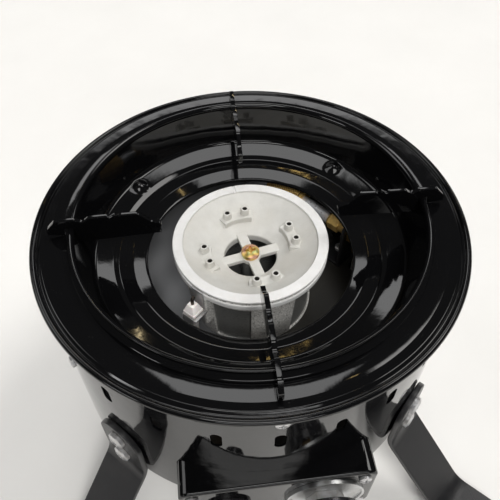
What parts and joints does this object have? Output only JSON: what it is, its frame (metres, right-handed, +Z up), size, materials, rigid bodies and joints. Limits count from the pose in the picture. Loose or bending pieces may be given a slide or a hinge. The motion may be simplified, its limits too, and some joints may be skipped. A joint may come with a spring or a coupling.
{
  "type": "table-top gas burner",
  "caption": "Round black-enamelled gas burner on bent legs, with a lift-off drip bowl and pan supports, a cast ring burner, spark electrode, gas knob and push igniter.",
  "frame": {"origin": "on the ground under the axis of the burner head, at the centre of the four feet", "axes": "+Z up along the burner's axis, -Y towards the knob, +Y out along the gas inlet, +X to the right seen from the knob"},
  "size_m": [0.2594, 0.2594, 0.16],
  "materials": {
    "black_enamel": "gloss vitreous enamel",
    "black_powder_coat": "satin powder coat",
    "tray_steel": "satin coated steel, dark",
    "machined_alloy": "satin cast face with a turned rim",
    "cast_alloy": "as cast",
    "yellow_zinc": "yellow passivated zinc",
    "zinc_steel": "bright zinc plate",
    "spring_steel": "drawn wire",
    "burnt_steel": "wire darkened by heat",
    "brass": "turned",
    "tube_alloy": "drawn tube",
    "rubber": "moulded",
    "lead_sleeve": "gloss sleeve",
    "lead_silicone": "silicone insulation",
    "white_ceramic": "dense unglazed",
    "black_plastic": "moulded",
    "white_inlay": "moulded",
    "dial_metal": "brushed bezel"
  },
  "bodies": {
    "root": {"base_plate": "black_enamel", "body_screws": "zinc_steel", "burner_body": "cast_alloy", "burner_head": "machined_alloy", "ceramic_insulator": "white_ceramic", "control_panel": "black_enamel", "dial_ring": "dial_metal", "drum": "black_enamel", "earth_lead": "lead_sleeve", "electrode_bracket": "zinc_steel", "electrode_pin": "burnt_steel", "electrode_screw": "zinc_steel", "feed_pipe": "tube_alloy", "foot_pads": "rubber", "foot_screws": "zinc_steel", "gas_jet": "brass", "head_screw": "yellow_zinc", "igniter_body": "black_plastic", "igniter_nut": "zinc_steel", "igniter_spring": "spring_steel", "ignition_lead": "lead_silicone", "inlet_fitting": "brass", "inlet_nut": "zinc_steel", "inlet_pipe": "tube_alloy", "inlet_plate": "zinc_steel", "inner_tray": "tray_steel", "jet_bracket": "black_powder_coat", "jet_elbow": "brass", "jet_holder": "brass", "jet_nut": "brass", "jet_tube": "tube_alloy", "lead_grommet": "rubber", "leg_bolts": "zinc_steel", "leg_front_left": "black_powder_coat", "leg_front_right": "black_powder_coat", "leg_nuts": "zinc_steel", "leg_rear_left": "black_powder_coat", "leg_rear_right": "black_powder_coat", "mixing_tube": "zinc_steel", "panel_screws": "zinc_steel", "piezo_cell": "white_ceramic", "pipe_nuts": "brass", "shell_screws": "zinc_steel", "small_nuts": "zinc_steel", "top_ring": "black_enamel", "valve_body": "brass", "valve_nut": "zinc_steel", "valve_spring": "spring_steel"},
    "drip_pan": {"drip_bowl": "black_enamel", "pan_support_right": "black_enamel", "pan_support_rear": "black_enamel", "pan_support_left": "black_enamel", "pan_support_front": "black_enamel"},
    "stem_carrier": {"push_collar": "brass"},
    "knob": {"control_knob": "black_plastic", "knob_pointer": "white_inlay", "valve_stem": "brass"},
    "plug": {"valve_plug": "brass"},
    "button": {"igniter_button": "black_plastic"},
    "air_control": {"air_sleeve": "brass"}
  },
  "joints": [
    {"name": "pan_lift", "type": "slide", "parent": "root", "child": "drip_pan", "axis": [0, 0, 1], "range_m": [0, 0.07]},
    {"name": "knob_push", "type": "slide", "parent": "root", "child": "stem_carrier", "axis": [0, 1, 0], "range_m": [0, 0.0035], "stiffness_N_per_m": 900, "springref_m": -0.004, "deforming": ["valve_spring"]},
    {"name": "knob_turn", "type": "hinge", "parent": "stem_carrier", "child": "knob", "pos_m": [0.022, -0.11, 0.069], "axis": [0, 1, 0], "range_deg": [-180, 0]},
    {"name": "plug_turn", "type": "hinge", "parent": "root", "child": "plug", "pos_m": [0.022, -0.081, 0.069], "axis": [0, 1, 0], "range_deg": [-180, 0]},
    {"name": "igniter_push", "type": "slide", "parent": "root", "child": "button", "axis": [0, 1, 0], "range_m": [0, 0.005], "stiffness_N_per_m": 1500, "springref_m": -0.003, "deforming": ["igniter_spring"]},
    {"name": "air_turn", "type": "hinge", "parent": "root", "child": "air_control", "pos_m": [0.02876, 0.05285, 0.113], "axis": [-0.6428, 0.766, 0], "range_deg": [0, 90]}
  ],
  "couplings": [
    {"joint": "plug_turn", "follows": "knob_turn", "ratio": 1}
  ]
}
